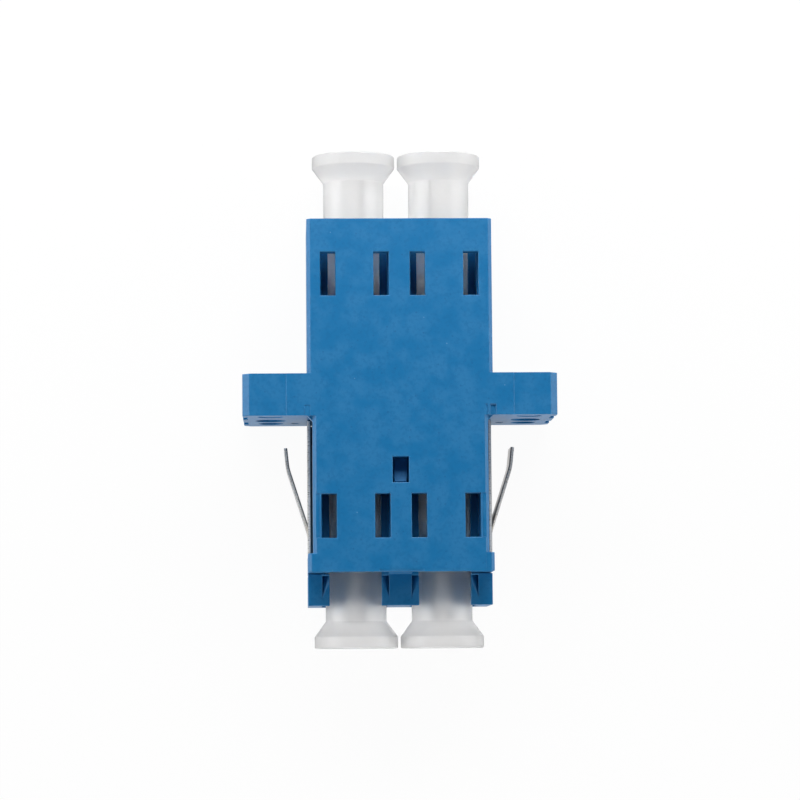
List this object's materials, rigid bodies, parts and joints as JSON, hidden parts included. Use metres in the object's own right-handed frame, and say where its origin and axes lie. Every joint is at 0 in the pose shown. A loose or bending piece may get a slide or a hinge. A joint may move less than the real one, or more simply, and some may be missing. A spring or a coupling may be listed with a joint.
{
  "type": "duplex fibre optic adapter",
  "caption": "Flanged panel adapter that joins pairs of latched fibre plugs end to end, with latch windows, a spring mounting clip and pull-out dust caps.",
  "frame": {"origin": "middle of the flange face that meets the panel, midway between the two screw holes and midway through the body's depth", "axes": "+X across the two ports, +Y along the fibres from the clip end to the plain end, +Z out of the face with the latch windows"},
  "size_m": [0.022, 0.0351, 0.0094],
  "materials": {
    "blue_plastic": "fine satin moulding",
    "clear_cap_plastic": "translucent, smooth",
    "spring_steel": "rolled strip, sheared edges",
    "white_ceramic": "polished zirconia"
  },
  "bodies": {
    "adapter": {"housing": "blue_plastic", "port_insert": "blue_plastic", "mounting_clip": "spring_steel", "split_sleeve_left": "white_ceramic", "split_sleeve_right": "white_ceramic"},
    "cap_plain_end_left": {"cap_plain_end_left": "clear_cap_plastic"},
    "cap_plain_end_right": {"cap_plain_end_right": "clear_cap_plastic"},
    "cap_clip_end_left": {"cap_clip_end_left": "clear_cap_plastic"},
    "cap_clip_end_right": {"cap_clip_end_right": "clear_cap_plastic"}
  },
  "joints": [
    {"name": "cap_plain_end_left_pull", "type": "slide", "parent": "adapter", "child": "cap_plain_end_left", "axis": [0, 1, 0], "range_m": [0, 0.0142]},
    {"name": "cap_plain_end_right_pull", "type": "slide", "parent": "adapter", "child": "cap_plain_end_right", "axis": [0, 1, 0], "range_m": [0, 0.0142]},
    {"name": "cap_clip_end_left_pull", "type": "slide", "parent": "adapter", "child": "cap_clip_end_left", "axis": [0, -1, 0], "range_m": [0, 0.0142]},
    {"name": "cap_clip_end_right_pull", "type": "slide", "parent": "adapter", "child": "cap_clip_end_right", "axis": [0, -1, 0], "range_m": [0, 0.0142]}
  ]
}
